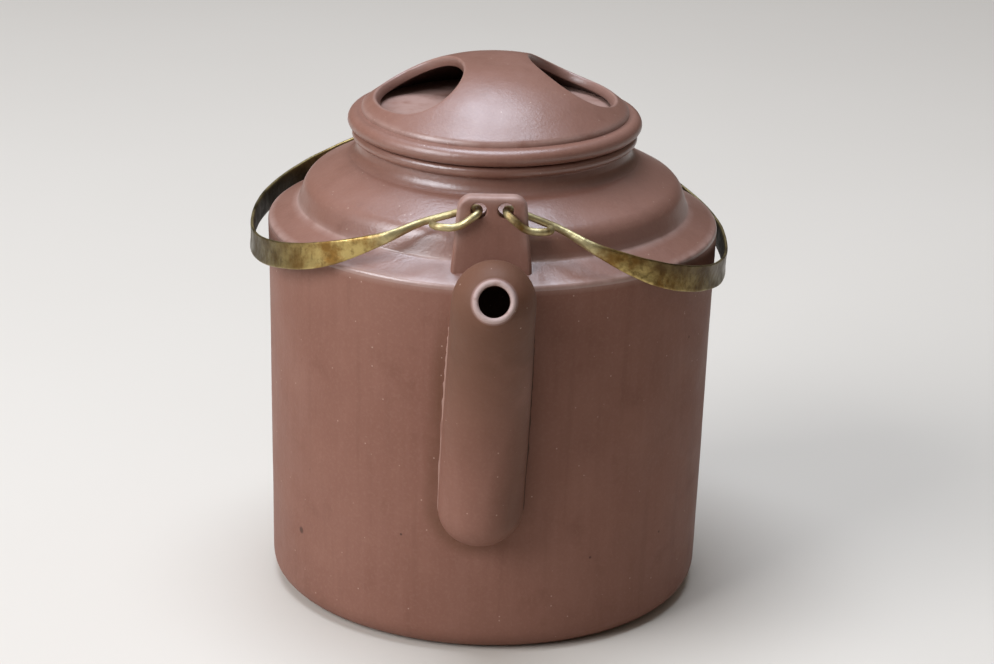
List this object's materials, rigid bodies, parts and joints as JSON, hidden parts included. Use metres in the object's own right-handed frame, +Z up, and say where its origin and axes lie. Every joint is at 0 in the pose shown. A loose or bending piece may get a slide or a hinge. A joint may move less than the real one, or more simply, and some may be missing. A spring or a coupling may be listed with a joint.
{
  "type": "teapot",
  "caption": "Cylindrical unglazed stoneware teapot with a stub spout, a loose domed lid with finger openings and swinging brass bail handles.",
  "frame": {"origin": "centre of the pot's foot, on the surface it stands on", "axes": "+Z up along the pot's axis, -Y towards the spout, +X to the right as the spout faces the viewer"},
  "size_m": [0.1378, 0.1641, 0.1566],
  "materials": {
    "clay": "satin, unglazed",
    "brass": "worn, with a dull patina"
  },
  "bodies": {
    "pot": {"base_slab": "clay", "front_wall": "clay", "rear_wall": "clay", "shoulder": "clay", "neck_collar": "clay", "mouth_ring": "clay", "spout": "clay", "front_ear": "clay", "rear_ear": "clay"},
    "lid": {"lid_plate": "clay", "lid_rim": "clay", "lid_dome": "clay", "lid_flange": "clay"},
    "left_bail": {"left_bail": "brass"},
    "right_bail": {"right_bail": "brass"}
  },
  "joints": [
    {"name": "lid_lift", "type": "slide", "parent": "pot", "child": "lid", "axis": [0, 0, 1], "range_m": [0, 0.1]},
    {"name": "left_bail_swing", "type": "hinge", "parent": "pot", "child": "left_bail", "pos_m": [-0.0037, 0, 0.12945], "axis": [0, 1, 0], "range_deg": [0, 109.8]},
    {"name": "right_bail_swing", "type": "hinge", "parent": "pot", "child": "right_bail", "pos_m": [0.0037, 0, 0.12945], "axis": [0, -1, 0], "range_deg": [0, 113.8]}
  ]
}
